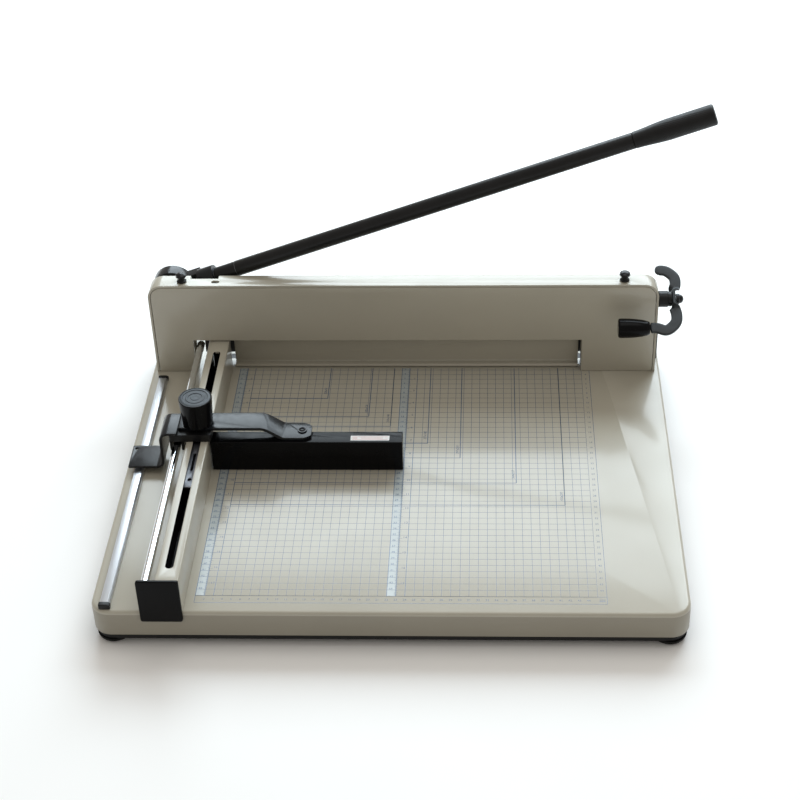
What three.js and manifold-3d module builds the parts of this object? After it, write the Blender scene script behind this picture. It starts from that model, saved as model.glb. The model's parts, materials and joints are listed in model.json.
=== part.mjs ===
// Guillotine stack paper cutter: a lever drives the blade, a clamp bar holds the stack and a stop slides on
// a side rail. Millimetres. X runs along the cut, Y from the front to the back and Z up. While it is built,
// X = 0 is the rail's fence face, Y = 0 the front line of the printed grid and Z = 0 the table top. The last
// lines move the origin to the middle of the footprint, at the feet.
import * as THREE from "three";
import { mergeVertices } from "three/addons/utils/BufferGeometryUtils.js";
import Module from "manifold-3d";

const wasm = await Module();
wasm.setup();

// ---------- driving dimensions ----------
const GAP = 0.3; // between touching pieces
const ROUND = 28; // sides of a plain round piece

const TABLE = { left: -104, right: 550.5, front: -27, back: 535, corner: 22, edge: 4, skirt: 33.6, wall: 3 };
const TRAY = { inset: 3, depth: 8.4, wall: 2.5 };
const FOOT = { radius: 19.5, height: 7.7, inset: 21.5 };
const CUT_Y = 450; // plane of the cut

const HOUSING = { left: -94, right: 540, front: 417.5, back: 441.5, top: 128.5, corner: 15 };
const WINDOW = { left: -46.5, right: 449.5, top: 48.7 };
const FRONT_PLATE = 2.5; // thickness
const REAR_PLATE = { front: 438.5, back: 443.5 };
const CAP = { wall: 2.9, gap: 0.6 };
const COVER_KNOBS = { left: { x: -54, y: 428 }, right: { x: 500.6, y: 428 } };

const LEVER = {
  x: -72, y: 454, z: 104, angle: 20, length: 715,
  tubeRadius: 10, gripLength: 101, gripRadius: 13.2,
};
const CRANK = { radius: 51.8, lag: 80, pin: 4, roller: 6, armWidth: 22 }; // lag: degrees behind the tube
const BLADE = { left: -38, right: 468, edge: 8.5, top: 71, thickness: 5, bevel: 22 };
const HOLDER = {
  left: -71, right: 498, bottom: 53, top: 92, front: 443.8, back: 449.7,
  lug: 40, lugRight: -24,
};
const GUIDE = { xs: [60, 430], z: 80, shank: 6, head: 9 };
const BLADE_TRAVEL = { down: 12, up: 42.4 }; // along the 45 degree slots, from the modelled pose

const CLAMP = {
  left: 3, right: 446, lipFront: 426, webFront: 434.6, webBack: 437.6,
  bottom: 1, lip: 4, top: 54.7,
};
const GEAR = { module: 1, teeth: 14, width: 8, shaftZ: 104, idlerZ: 90, y: 428 };
const RACKS = { left: 30, right: 420, width: 3.8, bottom: 44.4, top: 91, back: 438.2 };
const SHAFT = { left: 20, right: 565.3, radius: 4 };
const HANDLE = {
  x: 560.3, tilt: 67, reach: 43.4, thickness: 4.6, width: 14,
  gripLeft: 491.8, gripRight: 531, gripRadius: 12.2,
};

const RAIL = {
  left: -26, right: 0, top: 47, front: -27, back: 424, wall: 3,
  slot: [-17.6, -8.4], slotFront: -8, slotBack: 396,
};
const ROD = { x: -37.5, z: 40.3, radius: 4.7 };
const RULER = { left: -92, right: -81, top: 6, front: -17, back: 396 };
const CARRIAGE = { left: -46, right: 4, front: 211, back: 251, bottom: 47.4, top: 57.2 };
const STRAP = { front: 219.5, back: 249, top: 61.4, thickness: 4 };
const STOP = { left: 1.3, right: 229.5, front: 216.3, back: 237.5, bottom: 0.5, top: 42.3, wall: 3 };
const KNOB = { x: -13, y: 231, radius: 19.7, height: 36.6 };

// ---------- finishes ----------
const finish = (color, roughness, metalness) => ({ color, roughness, metalness });
const CREAM = finish(0xd2cfc0, 0.45, 0);
const BLACK_GLOSS = finish(0x0c0d0f, 0.22, 0);
const BLACK_SATIN = finish(0x1b1e21, 0.5, 0);
const DARK_GREY = finish(0x3a4146, 0.5, 0);
const RUBBER = finish(0x101010, 0.85, 0);
const STEEL = finish(0xb5b9bd, 0.3, 1);
const ALUMINIUM = finish(0xc9cccd, 0.38, 1);
const CHROME = finish(0xe4e6e8, 0.08, 1);
const STICK = finish(0xe9e4d2, 0.6, 0);

// ---------- solids ----------
const degrees = THREE.MathUtils.degToRad;
const AXES = {
  x: new THREE.Matrix4().set(0, 0, 1, 0, 1, 0, 0, 0, 0, 1, 0, 0, 0, 0, 0, 1),
  y: new THREE.Matrix4().set(1, 0, 0, 0, 0, 0, -1, 0, 0, 1, 0, 0, 0, 0, 0, 1),
  z: new THREE.Matrix4(),
};

// A closed three.js geometry as a manifold solid.
function solid(geometry) {
  const bare = geometry.clone();
  bare.deleteAttribute("normal");
  bare.deleteAttribute("uv");
  const merged = mergeVertices(bare, 1e-4);
  const corners = merged.index.array;
  const triangles = [];
  for (let i = 0; i < corners.length; i += 3) {
    const [a, b, c] = [corners[i], corners[i + 1], corners[i + 2]];
    if (a !== b && b !== c && c !== a) triangles.push(a, b, c);
  }
  const vertProperties = new Float32Array(merged.attributes.position.array);
  const triVerts = new Uint32Array(triangles);
  return new wasm.Manifold(new wasm.Mesh({ numProp: 3, vertProperties, triVerts }));
}

const join = (...solids) => solids.reduce((whole, piece) => whole.add(piece));
const cut = (whole, ...tools) => tools.reduce((rest, tool) => rest.subtract(tool), whole);

function box(x0, x1, y0, y1, z0, z1) {
  const geometry = new THREE.BoxGeometry(x1 - x0, y1 - y0, z1 - z0);
  return solid(geometry.translate((x0 + x1) / 2, (y0 + y1) / 2, (z0 + z1) / 2));
}

// An outline pushed along an axis from one level to another. The outline's own two directions are YZ for an
// X prism, XZ for a Y prism and XY for a Z prism. An edge size rounds both ends of the prism.
function prism(axis, shape, from, to, { edge = 0, curveSegments = 8 } = {}) {
  const depth = to - from - 2 * edge;
  const size = { bevelThickness: edge, bevelSize: edge, bevelOffset: -edge };
  const bevel = { bevelEnabled: edge > 0, bevelSegments: 3, ...size };
  const geometry = new THREE.ExtrudeGeometry(shape, { depth, curveSegments, ...bevel });
  geometry.translate(0, 0, axis === "y" ? -to + edge : from + edge);
  return solid(geometry.applyMatrix4(AXES[axis]));
}

// A round bar between two levels of its axis, centred by the axis' own two directions, as for a prism.
function bar(axis, [u, v], radius, from, to, sides = ROUND) {
  const geometry = new THREE.CylinderGeometry(radius, radius, to - from, sides).rotateX(Math.PI / 2);
  geometry.translate(u, v, axis === "y" ? -(from + to) / 2 : (from + to) / 2);
  return solid(geometry.applyMatrix4(AXES[axis]));
}

// A turned piece: the profile is a list of [radius, height] from the bottom to the top, standing along +Z.
function turned(profile, [x, y, z] = [0, 0, 0], sides = ROUND) {
  const points = profile.map(([radius, height]) => new THREE.Vector2(radius, height));
  const geometry = new THREE.LatheGeometry(points, sides).rotateX(Math.PI / 2);
  return solid(geometry.translate(x, y, z));
}

// The same solid moved by a matrix.
function moved(whole, matrix) {
  return solid(surface(whole).applyMatrix4(matrix));
}

function surface(whole) {
  const { vertProperties, triVerts } = whole.getMesh();
  const geometry = new THREE.BufferGeometry();
  geometry.setAttribute("position", new THREE.BufferAttribute(new Float32Array(vertProperties), 3));
  geometry.setIndex(Array.from(triVerts));
  return geometry;
}

// ---------- outlines ----------
function rounded(left, right, low, high, radius) {
  const shape = new THREE.Shape();
  shape.moveTo(left + radius, low).lineTo(right - radius, low);
  shape.absarc(right - radius, low + radius, radius, -Math.PI / 2, 0, false);
  shape.absarc(right - radius, high - radius, radius, 0, Math.PI / 2, false);
  shape.absarc(left + radius, high - radius, radius, Math.PI / 2, Math.PI, false);
  shape.absarc(left + radius, low + radius, radius, Math.PI, 1.5 * Math.PI, false);
  return shape;
}

// Square at the bottom and round at the two top corners.
function arched(left, right, low, high, radius) {
  const shape = new THREE.Shape();
  shape.moveTo(left, low).lineTo(right, low).lineTo(right, high - radius);
  shape.absarc(right - radius, high - radius, radius, 0, Math.PI / 2, false);
  shape.lineTo(left + radius, high);
  shape.absarc(left + radius, high - radius, radius, Math.PI / 2, Math.PI, false);
  return shape;
}

const polygon = (points) => new THREE.Shape(points.map(([u, v]) => new THREE.Vector2(u, v)));

// A strip of one width that follows a smooth curve through the points.
function ribbon(points, width, steps = 24) {
  const places = points.map(([u, v]) => new THREE.Vector3(u, v, 0));
  const curve = new THREE.CatmullRomCurve3(places, false, "centripetal");
  const sides = [[], []];
  for (let i = 0; i <= steps; i += 1) {
    const place = curve.getPointAt(i / steps);
    const along = curve.getTangentAt(i / steps);
    sides[0].push([place.x + (along.y * width) / 2, place.y - (along.x * width) / 2]);
    sides[1].unshift([place.x - (along.y * width) / 2, place.y + (along.x * width) / 2]);
  }
  return polygon([...sides[0], ...sides[1]]);
}

// A strip bent with round corners: each corner is [u, v, bend radius of the middle line].
function bentStrip(corners, thickness) {
  const path = [];
  corners.forEach(([u, v, radius], i) => {
    const here = new THREE.Vector2(u, v);
    if (i === 0 || i === corners.length - 1) {
      path.push(here);
      return;
    }
    const before = new THREE.Vector2(corners[i - 1][0], corners[i - 1][1]).sub(here).normalize();
    const after = new THREE.Vector2(corners[i + 1][0], corners[i + 1][1]).sub(here).normalize();
    const halfAngle = Math.acos(THREE.MathUtils.clamp(before.dot(after), -1, 1)) / 2;
    const setback = radius / Math.tan(halfAngle);
    const start = here.clone().addScaledVector(before, setback);
    const end = here.clone().addScaledVector(after, setback);
    const control = here.clone().lerp(start.clone().lerp(end, 0.5), 0.12);
    const bend = new THREE.QuadraticBezierCurve(start, control, end);
    path.push(...bend.getPoints(8));
  });
  const sides = [[], []];
  path.forEach((place, i) => {
    const along = path[Math.min(i + 1, path.length - 1)].clone().sub(path[Math.max(i - 1, 0)]).normalize();
    sides[0].push([place.x + (along.y * thickness) / 2, place.y - (along.x * thickness) / 2]);
    sides[1].unshift([place.x - (along.y * thickness) / 2, place.y + (along.x * thickness) / 2]);
  });
  return polygon([...sides[0], ...sides[1]]);
}

// A spur gear's outline in the YZ plane, with its first tooth at an angle counted from +Y towards +Z.
function gearOutline(centreY, centreZ, firstTooth) {
  const pitchRadius = (GEAR.module * GEAR.teeth) / 2;
  const tip = pitchRadius + 0.8 * GEAR.module;
  const root = pitchRadius - 1.2 * GEAR.module;
  const flanks = [[-0.155, root], [-0.045, tip], [0.045, tip], [0.155, root]];
  const points = [];
  for (let tooth = 0; tooth < GEAR.teeth; tooth += 1) {
    const middle = firstTooth + (tooth * 2 * Math.PI) / GEAR.teeth;
    flanks.forEach(([turn, radius]) => {
      points.push([centreY + radius * Math.cos(middle + turn), centreZ + radius * Math.sin(middle + turn)]);
    });
  }
  return polygon(points);
}

// ---------- the assembly ----------
const group = new THREE.Group();

function add(name, whole, { color, roughness, metalness }) {
  const material = new THREE.MeshStandardMaterial({ color, roughness, metalness });
  const mesh = new THREE.Mesh(surface(whole), material);
  mesh.geometry.computeVertexNormals();
  mesh.name = name;
  group.add(mesh);
}

// ---------- base ----------
function baseDeck() {
  const { left, right, front, back, corner, edge, skirt, wall } = TABLE;
  const slab = prism("z", rounded(left, right, front, back, corner), -skirt - edge, 0, { edge });
  const below = box(left - 1, right + 1, front - 1, back + 1, -skirt - edge - 1, -skirt);
  const inside = rounded(left + wall, right - wall, front + wall, back - wall, corner - wall);
  const hollow = prism("z", inside, -skirt - 1, -wall, { curveSegments: 4 });
  const rib = box(-30, 480, CUT_Y - 12, CUT_Y + 16, -9, -wall + 0.5);
  const groove = box(-12.3, 472.3, CUT_Y - 3.3, CUT_Y + 7.3, -5.3, 1);
  return cut(join(cut(slab, below, hollow), rib), groove);
}

function baseTray() {
  const { left, right, front, back, corner, skirt } = TABLE;
  const { inset, depth, wall } = TRAY;
  const outline = (shrink) =>
    rounded(left + shrink, right - shrink, front + shrink, back - shrink, Math.max(corner - shrink, 4));
  const top = -skirt - GAP;
  const bottom = -skirt - depth;
  return cut(
    prism("z", outline(inset), bottom, top, { curveSegments: 5 }),
    prism("z", outline(inset + wall), bottom + wall, top + 1, { curveSegments: 4 }),
  );
}

function foot(x, y) {
  const bottom = -TABLE.skirt - TRAY.depth - GAP - FOOT.height;
  const { radius, height } = FOOT;
  const profile = [[0, 0], [radius - 4, 0], [radius - 1.2, 1.4], [radius, 4], [radius, height], [0, height]];
  return turned(profile, [x, y, bottom], 24);
}

function base() {
  add("base_deck", baseDeck(), CREAM);
  add("base_tray", baseTray(), BLACK_SATIN);
  add("cutting_stick", box(-12, 472, CUT_Y - 3, CUT_Y + 7, -5, -0.2), STICK);
  const { left, right, front, back } = TABLE;
  const places = {
    front_left: [left + FOOT.inset, front + FOOT.inset],
    front_right: [right - FOOT.inset, front + FOOT.inset],
    rear_left: [left + FOOT.inset, back - FOOT.inset],
    rear_right: [right - FOOT.inset, back - FOOT.inset],
  };
  Object.entries(places).forEach(([name, [x, y]]) => add(`foot_${name}`, foot(x, y), RUBBER));
}

// ---------- housing ----------
const windowCut = () => box(WINDOW.left, WINDOW.right, 400, 460, -1, WINDOW.top);
const housingSlab = (front, back) => {
  const { left, right, top, corner } = HOUSING;
  return prism("y", arched(left, right, GAP, top, corner), front, back);
};

function frontPlate() {
  return cut(housingSlab(HOUSING.front, HOUSING.front + FRONT_PLATE), windowCut());
}

// The rear plate guides the blade: each slot is stepped, wide in front for the guide bolt's head.
function rearPlate() {
  const { front, back } = REAR_PLATE;
  const step = front + 2.7;
  const slotAt = (x, radius, y0, y1) => {
    const low = -BLADE_TRAVEL.down * Math.SQRT1_2;
    const high = BLADE_TRAVEL.up * Math.SQRT1_2;
    const outline = new THREE.Shape();
    outline.absarc(x + high, GUIDE.z + high, radius, -Math.PI / 4, (3 * Math.PI) / 4, false);
    outline.absarc(x + low, GUIDE.z + low, radius, (3 * Math.PI) / 4, (7 * Math.PI) / 4, false);
    return prism("y", outline, y0, y1, { curveSegments: 10 });
  };
  const slots = GUIDE.xs.flatMap((x) => [
    slotAt(x, GUIDE.head + 0.5, front - 1, step),
    slotAt(x, GUIDE.shank + 0.4, step - 0.5, back + 1),
  ]);
  const socketRelief = box(-44, -8.5, front - 1, back + 1, 92.5, HOUSING.top + 1);
  const pivotHole = bar("y", [LEVER.x, LEVER.z], 6.3, front - 1, back + 1);
  return cut(housingSlab(front, back), windowCut(), ...slots, socketRelief, pivotHole);
}

// Solid posts between the plates, at both ends of the window.
function framePost(left, right) {
  const { front } = REAR_PLATE;
  const post = box(left, right, HOUSING.front + FRONT_PLATE + GAP, front - GAP, GAP, 120);
  return cut(post, bar("x", [GEAR.y, GEAR.shaftZ], SHAFT.radius + GAP, left - 1, right + 1));
}

function capStrip() {
  const { left, right, front, back, top, corner } = HOUSING;
  const { wall, gap } = CAP;
  const outline = (grow) => arched(left - grow, right + grow, GAP, top + grow, corner + grow);
  const sleeve = prism("y", outline(gap + wall), front, back, { curveSegments: 10 });
  const inside = prism("y", outline(gap), front - 1, back + 1, { curveSegments: 10 });
  const below = box(left - gap, right + gap, front - 1, back + 1, -1, 20);
  const socketNotch = box(-44, -8.5, 434.5, back + 1, top, top + 9);
  const adjustHole = prism("z", rounded(-16.5, -6.5, 424, 430, 2.9), top, top + 9);
  const knobHoles = Object.values(COVER_KNOBS).map(({ x, y }) => bar("z", [x, y], 3, top, top + 9));
  const shaftHole = bar("x", [GEAR.y, GEAR.shaftZ], SHAFT.radius + 0.5, right, right + 9);
  return cut(sleeve, inside, below, socketNotch, adjustHole, ...knobHoles, shaftHole);
}

// A knob with a wide head on a waisted neck, screwed through the cap.
function coverKnob({ x, y }) {
  const stem = [[0, -3.2], [2.6, -3.2], [2.6, 0.3], [6, 0.3], [6, 2], [4, 3.2], [4, 7]];
  const profile = [...stem, [6.6, 8.2], [6.8, 11], [5.4, 12.6], [0, 13]];
  return turned(profile, [x, y, HOUSING.top + CAP.gap + CAP.wall], 24);
}

// A gusset that ties the rear plate down to the table.
function frameBracket(left, right) {
  const y0 = REAR_PLATE.back + GAP;
  const shape = new THREE.Shape();
  shape.moveTo(y0, GAP).lineTo(y0 + 34, GAP).lineTo(y0 + 34, 8);
  shape.absarc(y0 + 26, 20, 14, -0.6, Math.PI / 2, false);
  shape.lineTo(y0 + 12, 45).lineTo(y0, 45);
  return prism("x", shape, left, right);
}

function housing() {
  add("front_plate", frontPlate(), CREAM);
  add("rear_plate", rearPlate(), CREAM);
  add("frame_post_left", framePost(-90, -64), CREAM);
  add("frame_post_right", framePost(510, 536), CREAM);
  add("cap_strip", capStrip(), CREAM);
  add("cover_knob_left", coverKnob(COVER_KNOBS.left), BLACK_GLOSS);
  add("cover_knob_right", coverKnob(COVER_KNOBS.right), BLACK_GLOSS);
  add("frame_bracket_left", frameBracket(-93, -86), BLACK_SATIN);
  add("frame_bracket_right", frameBracket(538, 548), BLACK_SATIN);
}

// ---------- clamp ----------
function clampBar() {
  const { left, right, lipFront, webFront, webBack, bottom, lip, top } = CLAMP;
  const section = new THREE.Shape();
  section.moveTo(lipFront + 1.5, bottom).lineTo(webBack, bottom).lineTo(webBack, top).lineTo(webFront, top);
  section.lineTo(webFront, bottom + lip + 2);
  section.absarc(webFront - 2, bottom + lip + 2, 2, 0, -Math.PI / 2, true);
  section.lineTo(lipFront + 1, bottom + lip);
  section.absarc(lipFront + 1.5, bottom + 1.5, 1.5, Math.PI, 1.5 * Math.PI, false);
  const notch = (x) => box(x - 6, x + 12, webFront - 1, webBack + 1, 44, top + 1);
  const notches = [notch(RACKS.left), notch(RACKS.right)];
  return cut(prism("x", section, left, right), ...notches);
}

// Runs beside the shaft's pinion and meshes with the idler gear only.
function clampRack(x) {
  const { width, bottom, top, back } = RACKS;
  const pitch = Math.PI * GEAR.module;
  const pitchLine = GEAR.y + (GEAR.module * GEAR.teeth) / 2;
  const tip = pitchLine - 0.8 * GEAR.module;
  const root = pitchLine + 1.2 * GEAR.module;
  const teeth = Math.floor((top - bottom) / pitch) - 1;
  const points = [[back, bottom], [back, top], [root, top]];
  for (let i = 0; i <= teeth; i += 1) {
    const middle = GEAR.idlerZ - i * pitch;
    points.push([root, middle + 0.9], [tip, middle + 0.35], [tip, middle - 0.35], [root, middle - 0.9]);
  }
  points.push([root, bottom]);
  return prism("x", polygon(points.reverse()), x, x + width);
}

function gear([from, to], z, firstTooth, bore) {
  const wheel = prism("x", gearOutline(GEAR.y, z, firstTooth), from, to);
  return cut(wheel, bar("x", [GEAR.y, z], bore, from - 1, to + 1, 20));
}

// Carries one end of the shaft and holds the pin that the idler gear turns on.
function gearBracket(x) {
  const front = HOUSING.front + FRONT_PLATE + GAP;
  const cheek = box(x + 6, x + 10, front, 434, 82.5, 113);
  const flange = box(x + 6, x + 22, front, front + 2.5, 82.5, 113);
  const pin = bar("x", [GEAR.y, GEAR.idlerZ], 2.5, x - 5, x + 7, 20);
  return cut(join(cheek, flange, pin), bar("x", [GEAR.y, GEAR.shaftZ], SHAFT.radius + GAP, x, x + 12));
}

function clampDrive() {
  add("clamp_bar", clampBar(), CREAM);
  add("clamp_shaft", bar("x", [GEAR.y, GEAR.shaftZ], SHAFT.radius, SHAFT.left, SHAFT.right), STEEL);
  const halfTooth = Math.PI / GEAR.teeth;
  Object.entries({ left: RACKS.left, right: RACKS.right }).forEach(([side, x]) => {
    const idlerLeft = x - GEAR.width / 2;
    const idlerRight = x + GEAR.width / 2;
    add(`clamp_rack_${side}`, clampRack(idlerLeft), STEEL);
    add(`shaft_pinion_${side}`, gear([x + 0.2, idlerRight], GEAR.shaftZ, 0, SHAFT.radius + GAP), STEEL);
    add(`idler_gear_${side}`, gear([idlerLeft, idlerRight], GEAR.idlerZ, halfTooth, 2.8), STEEL);
    add(`gear_bracket_${side}`, gearBracket(x), STEEL);
  });
}

// Places a piece built with X along the shaft and Z radially outward into the handle's tilted plane.
function tilted(whole) {
  const turn = new THREE.Matrix4().makeRotationX(Math.PI - degrees(HANDLE.tilt));
  return moved(whole, turn.premultiply(new THREE.Matrix4().makeTranslation(0, GEAR.y, GEAR.shaftZ)));
}

// A flat bar held by its nut, with both ends curling in over the housing.
function handleBar() {
  const { x, thickness, width, reach } = HANDLE;
  const middle = box(x, x + 5, -width / 2, width / 2, -15, 15);
  const half = thickness / 2;
  const gripRoute = [[x + 2.5, 10], [x + 5, 24], [x + 3, 36], [x - 8, reach + 3], [x - 24, reach]];
  const gripArm = prism("y", ribbon(gripRoute, width), -half, half);
  const hookRoute = [[x + 2.5, -10], [x + 6, -22], [x + 4, -33], [x - 6, -42], [x - 19, -43]];
  const hookArm = prism("y", ribbon(hookRoute, width), -half, half);
  const tip = bar("y", [x - 19, -43], width / 2, -half, half, 20);
  const stud = bar("x", [0, reach], 3, HANDLE.gripLeft + 6, x - 20, 16);
  const hole = bar("x", [0, 0], SHAFT.radius + GAP, x - 1, x + 6);
  return tilted(cut(join(gripArm, hookArm, tip, stud, middle), hole));
}

function handleGrip() {
  const { gripLeft, gripRight, gripRadius, reach } = HANDLE;
  const span = gripRight - gripLeft;
  const front = [[0, 0], [gripRadius - 2.5, 0], [gripRadius - 0.7, 0.8], [gripRadius, 2.6]];
  const waist = [[gripRadius, span * 0.45], [gripRadius - 0.8, span * 0.8], [gripRadius - 2.6, span - 1.2]];
  const profile = [...front, ...waist, [gripRadius - 4, span], [0, span]];
  const along = new THREE.Matrix4().makeRotationY(Math.PI / 2).setPosition(gripLeft, 0, reach);
  const bore = bar("x", [0, reach], 3.3, gripLeft + 5, gripRight + 1, 16);
  return tilted(cut(moved(turned(profile), along), bore));
}

function handleNut() {
  const profile = [[0, 0], [6.6, 0], [6.6, 4], [5.6, 7], [3.4, 9], [0, 9.6]];
  const along = new THREE.Matrix4().makeRotationY(Math.PI / 2);
  return moved(turned(profile, [0, 0, 0], 20), along.setPosition(SHAFT.right + GAP, GEAR.y, GEAR.shaftZ));
}

function ratchetHub() {
  const left = HOUSING.right + CAP.gap + CAP.wall + GAP;
  const hub = bar("x", [GEAR.y, GEAR.shaftZ], 10.2, left, HANDLE.x - GAP);
  return cut(hub, bar("x", [GEAR.y, GEAR.shaftZ], SHAFT.radius + GAP, left - 1, HANDLE.x + 1));
}

function clampHandle() {
  add("ratchet_hub", ratchetHub(), BLACK_SATIN);
  add("clamp_handle_bar", handleBar(), DARK_GREY);
  add("clamp_handle_grip", handleGrip(), BLACK_GLOSS);
  add("clamp_handle_nut", handleNut(), BLACK_SATIN);
}

// ---------- lever and blade ----------
// Builds with +X outward along the lever and +Z upward, then turns the piece up to the lever's angle at its
// pivot.
function onLever(whole, angle = LEVER.angle) {
  const turn = new THREE.Matrix4().makeRotationY(-degrees(angle)).setPosition(LEVER.x, LEVER.y, LEVER.z);
  return moved(whole, turn);
}

const HUB = {
  radius: 26, front: 451.5 - LEVER.y, back: 469 - LEVER.y,
  socketRadius: 14, socketIn: 40, socketOut: 61,
};
const ARM = { front: 458 - LEVER.y, back: 467 - LEVER.y };

function leverHub() {
  const { radius, front, back, socketRadius, socketIn, socketOut } = HUB;
  const disc = bar("y", [0, 0], radius, front, back, 36);
  const web = box(0, socketIn + 2, front, 12, -13, 12);
  const socket = bar("x", [0, 0], socketRadius, socketIn, socketOut);
  const arm = box(0, CRANK.radius, ARM.front, ARM.back, -CRANK.armWidth / 2, CRANK.armWidth / 2);
  const armEnd = bar("y", [CRANK.radius, 0], CRANK.armWidth / 2, ARM.front, ARM.back);
  const crankTurn = new THREE.Matrix4().makeRotationY(degrees(CRANK.lag));
  const pin = bar("y", [CRANK.radius, 0], CRANK.pin, -10, ARM.front + 1, 20);
  const crank = moved(join(arm, armEnd, pin), crankTurn);
  const pivotBore = bar("y", [0, 0], 6.4, front - 1, back + 1);
  const tubeBore = bar("x", [0, 0], 8.3, 34, socketOut + 1);
  return onLever(cut(join(disc, web, socket, crank), pivotBore, tubeBore));
}

function leverTube() {
  const reach = LEVER.length - LEVER.gripLength;
  const neck = bar("x", [0, 0], 8, 34.4, 94, 24);
  const { tubeRadius, length } = LEVER;
  const shaft = [[0, 61.4], [9.6, 61.4], [9.6, 90], [tubeRadius, 92], [tubeRadius, reach]];
  const collar = turned([...shaft, [7, reach], [7, length - 12], [0, length - 12]]);
  const along = new THREE.Matrix4().makeRotationY(Math.PI / 2);
  const hollow = bar("x", [0, 0], 6.2, 33, LEVER.length - 16, 20);
  return onLever(cut(join(neck, moved(collar, along)), hollow));
}

function leverGrip() {
  const { gripRadius, gripLength, length, tubeRadius } = LEVER;
  const start = length - gripLength + GAP;
  const flare = [[0, start], [tubeRadius - 0.2, start], [tubeRadius + 0.4, start + 4]];
  const body = [[gripRadius - 1, start + 34], [gripRadius, start + 60], [gripRadius, length - 3]];
  const end = [[gripRadius - 1.2, length - 0.8], [gripRadius - 3, length], [0, length]];
  const profile = [...flare, ...body, ...end];
  const along = new THREE.Matrix4().makeRotationY(Math.PI / 2);
  return onLever(cut(moved(turned(profile), along), bar("x", [0, 0], 7.3, start - 1, length - 11, 24)));
}

// Screwed into the rear plate; the hub turns on its shank, under its wide head.
function pivotBolt() {
  const shank = bar("y", [LEVER.x, LEVER.z], 6, REAR_PLATE.front, 470);
  const shoulder = bar("y", [LEVER.x, LEVER.z], 9.5, REAR_PLATE.back + GAP, 451.2);
  const head = bar("y", [LEVER.x, LEVER.z], 10, 469.3, 476, 6);
  return join(shank, shoulder, head);
}

const crankPin = () => {
  const angle = degrees(LEVER.angle - CRANK.lag);
  return [LEVER.x + CRANK.radius * Math.cos(angle), LEVER.z + CRANK.radius * Math.sin(angle)];
};

function crankRoller() {
  const { front, back } = HOLDER;
  const roller = bar("y", crankPin(), CRANK.roller, front, back);
  return cut(roller, bar("y", crankPin(), CRANK.pin + GAP, front - 1, back + 1, 20));
}

// The blade holder slides at 45 degrees. Its slot for the crank roller lies across that direction.
function bladeHolder() {
  const { left, right, bottom, top, front, back, lug, lugRight } = HOLDER;
  const outline = polygon([[left + 8, lug], [lugRight, lug], [lugRight + bottom - lug, bottom], [right, bottom],
    [right, top], [left + 30, top], [left, top - 22], [left, lug + 8]]);
  const mean = degrees(LEVER.angle - CRANK.lag + 15);
  const slide = -0.9387 * CRANK.radius * degrees(15);
  const slotMiddle = (reach) => [
    LEVER.x + reach * Math.cos(mean) + slide * Math.SQRT1_2,
    LEVER.z + reach * Math.sin(mean) + slide * Math.SQRT1_2,
  ];
  const slot = new THREE.Shape();
  const width = CRANK.roller + 1.1;
  slot.absarc(...slotMiddle(CRANK.radius + 0.8), width, -(3 * Math.PI) / 4, Math.PI / 4, false);
  slot.absarc(...slotMiddle(CRANK.radius * 0.8), width, Math.PI / 4, (5 * Math.PI) / 4, false);
  const boltHoles = GUIDE.xs.map((x) => bar("y", [x, GUIDE.z], GUIDE.shank - 0.7, front - 1, back + 1));
  return cut(prism("y", outline, front, back), prism("y", slot, front - 1, back + 1), ...boltHoles);
}

function blade() {
  const { left, right, edge, top, thickness, bevel } = BLADE;
  const flat = HOLDER.back + GAP;
  const back = flat + thickness;
  const section = [[flat, edge], [flat + 0.3, edge], [back, edge + bevel], [back, top], [flat, top]];
  return prism("x", polygon(section), left, right);
}

function bladeScrew(x) {
  const profile = [[0, 0], [5, 0], [5, 1.6], [3.4, 3.2], [0, 3.6]];
  const along = new THREE.Matrix4().makeRotationX(-Math.PI / 2);
  const y = HOLDER.back + GAP + BLADE.thickness + GAP;
  return moved(turned(profile, [0, 0, 0], 20), along.setPosition(x, y, 62));
}

// Head in the rear plate's stepped slot, shank through the holder, nut behind.
function guideBolt(x) {
  const { front } = REAR_PLATE;
  const head = bar("y", [x, GUIDE.z], GUIDE.head, front + 0.2, front + 2.2);
  const shank = bar("y", [x, GUIDE.z], GUIDE.shank, front + 2, HOLDER.front - 0.2);
  const thread = bar("y", [x, GUIDE.z], 5, HOLDER.front - 1, HOLDER.back + 1);
  const nut = bar("y", [x, GUIDE.z], 8, HOLDER.back + GAP, HOLDER.back + 7, 6);
  return join(head, shank, thread, nut);
}

function leverAndBlade() {
  add("lever_hub", leverHub(), BLACK_GLOSS);
  add("lever_tube", leverTube(), BLACK_SATIN);
  add("lever_grip", leverGrip(), BLACK_SATIN);
  add("lever_pivot_bolt", pivotBolt(), STEEL);
  add("crank_roller", crankRoller(), STEEL);
  add("blade_holder", bladeHolder(), STEEL);
  add("blade", blade(), STEEL);
  [30, 215, 400].forEach((x, i) => add(`blade_screw_${i + 1}`, bladeScrew(x), STEEL));
  GUIDE.xs.forEach((x, i) => add(`guide_bolt_${i + 1}`, guideBolt(x), STEEL));
}

// ---------- side rail and stop ----------
function railChannel() {
  const { left, right, top, front, back, wall, slot, slotFront, slotBack } = RAIL;
  const section = rounded(left, right, GAP, top, 1.5);
  section.holes.push(rounded(left + wall, right - wall, GAP + wall, top - wall, 0.5));
  const slotOutline = rounded(slot[0], slot[1], slotFront, slotBack, 4.5);
  const channel = prism("y", section, front + GAP, back, { curveSegments: 3 });
  return cut(channel, prism("z", slotOutline, top - 6, top + 1));
}

function railEndCap() {
  const shape = rounded(-46.5, 0, -10.5, 48, 3);
  return prism("y", shape, -31, RAIL.front, { edge: 1, curveSegments: 4 });
}

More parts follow.
